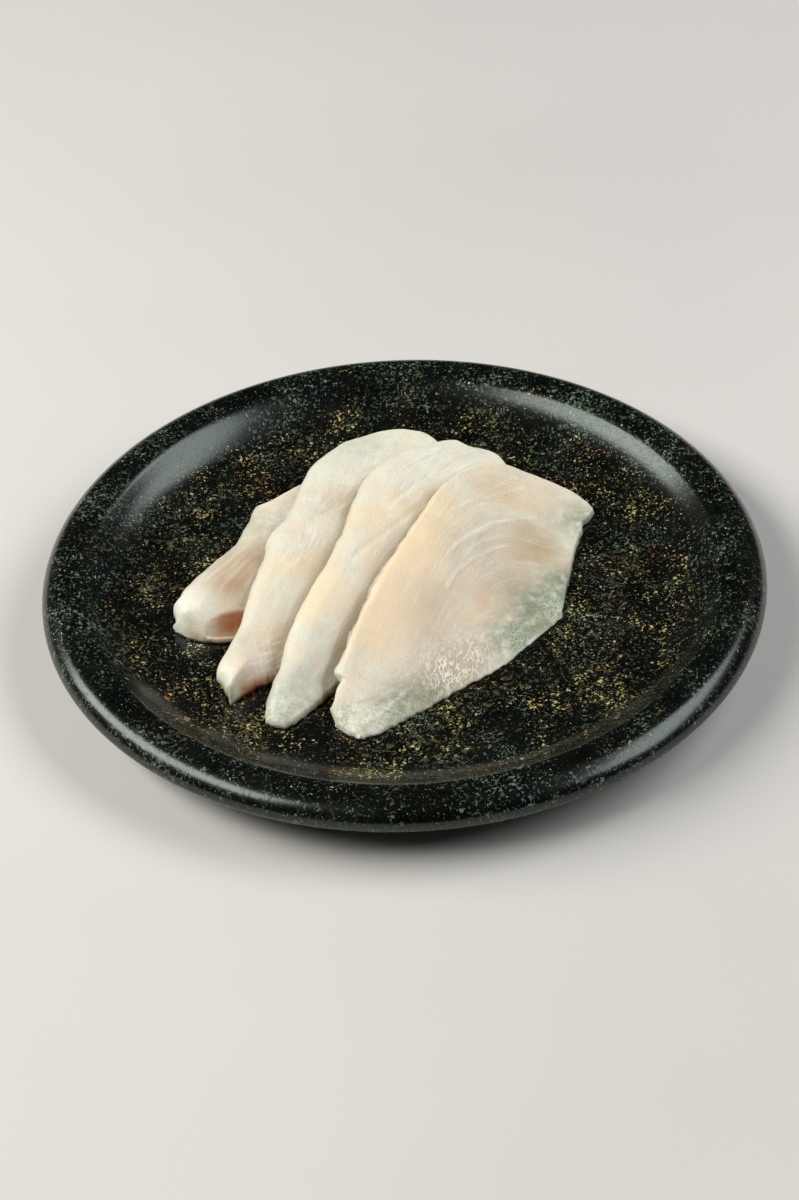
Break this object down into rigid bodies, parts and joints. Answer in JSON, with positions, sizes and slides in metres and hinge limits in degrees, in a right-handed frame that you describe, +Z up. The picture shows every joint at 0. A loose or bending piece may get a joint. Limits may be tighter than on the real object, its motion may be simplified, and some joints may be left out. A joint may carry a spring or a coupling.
{
  "type": "sashimi plate",
  "caption": "Round polished stone plate with a broad rounded rim and a shallow dish, holding overlapping slices of raw white fish fanned across its middle.",
  "frame": {"origin": "centre of the plate's flat underside, where it stands on the table", "axes": "+Z up, -Y towards the diner, +X to the diner's right"},
  "size_m": [0.15, 0.15, 0.0202],
  "materials": {
    "stone": "polished dark green granite",
    "fish": "moist raw flesh"
  },
  "bodies": {
    "root": {"plate": "stone", "slice_1": "fish", "slice_2": "fish", "slice_3": "fish", "slice_4": "fish"}
  },
  "joints": []
}
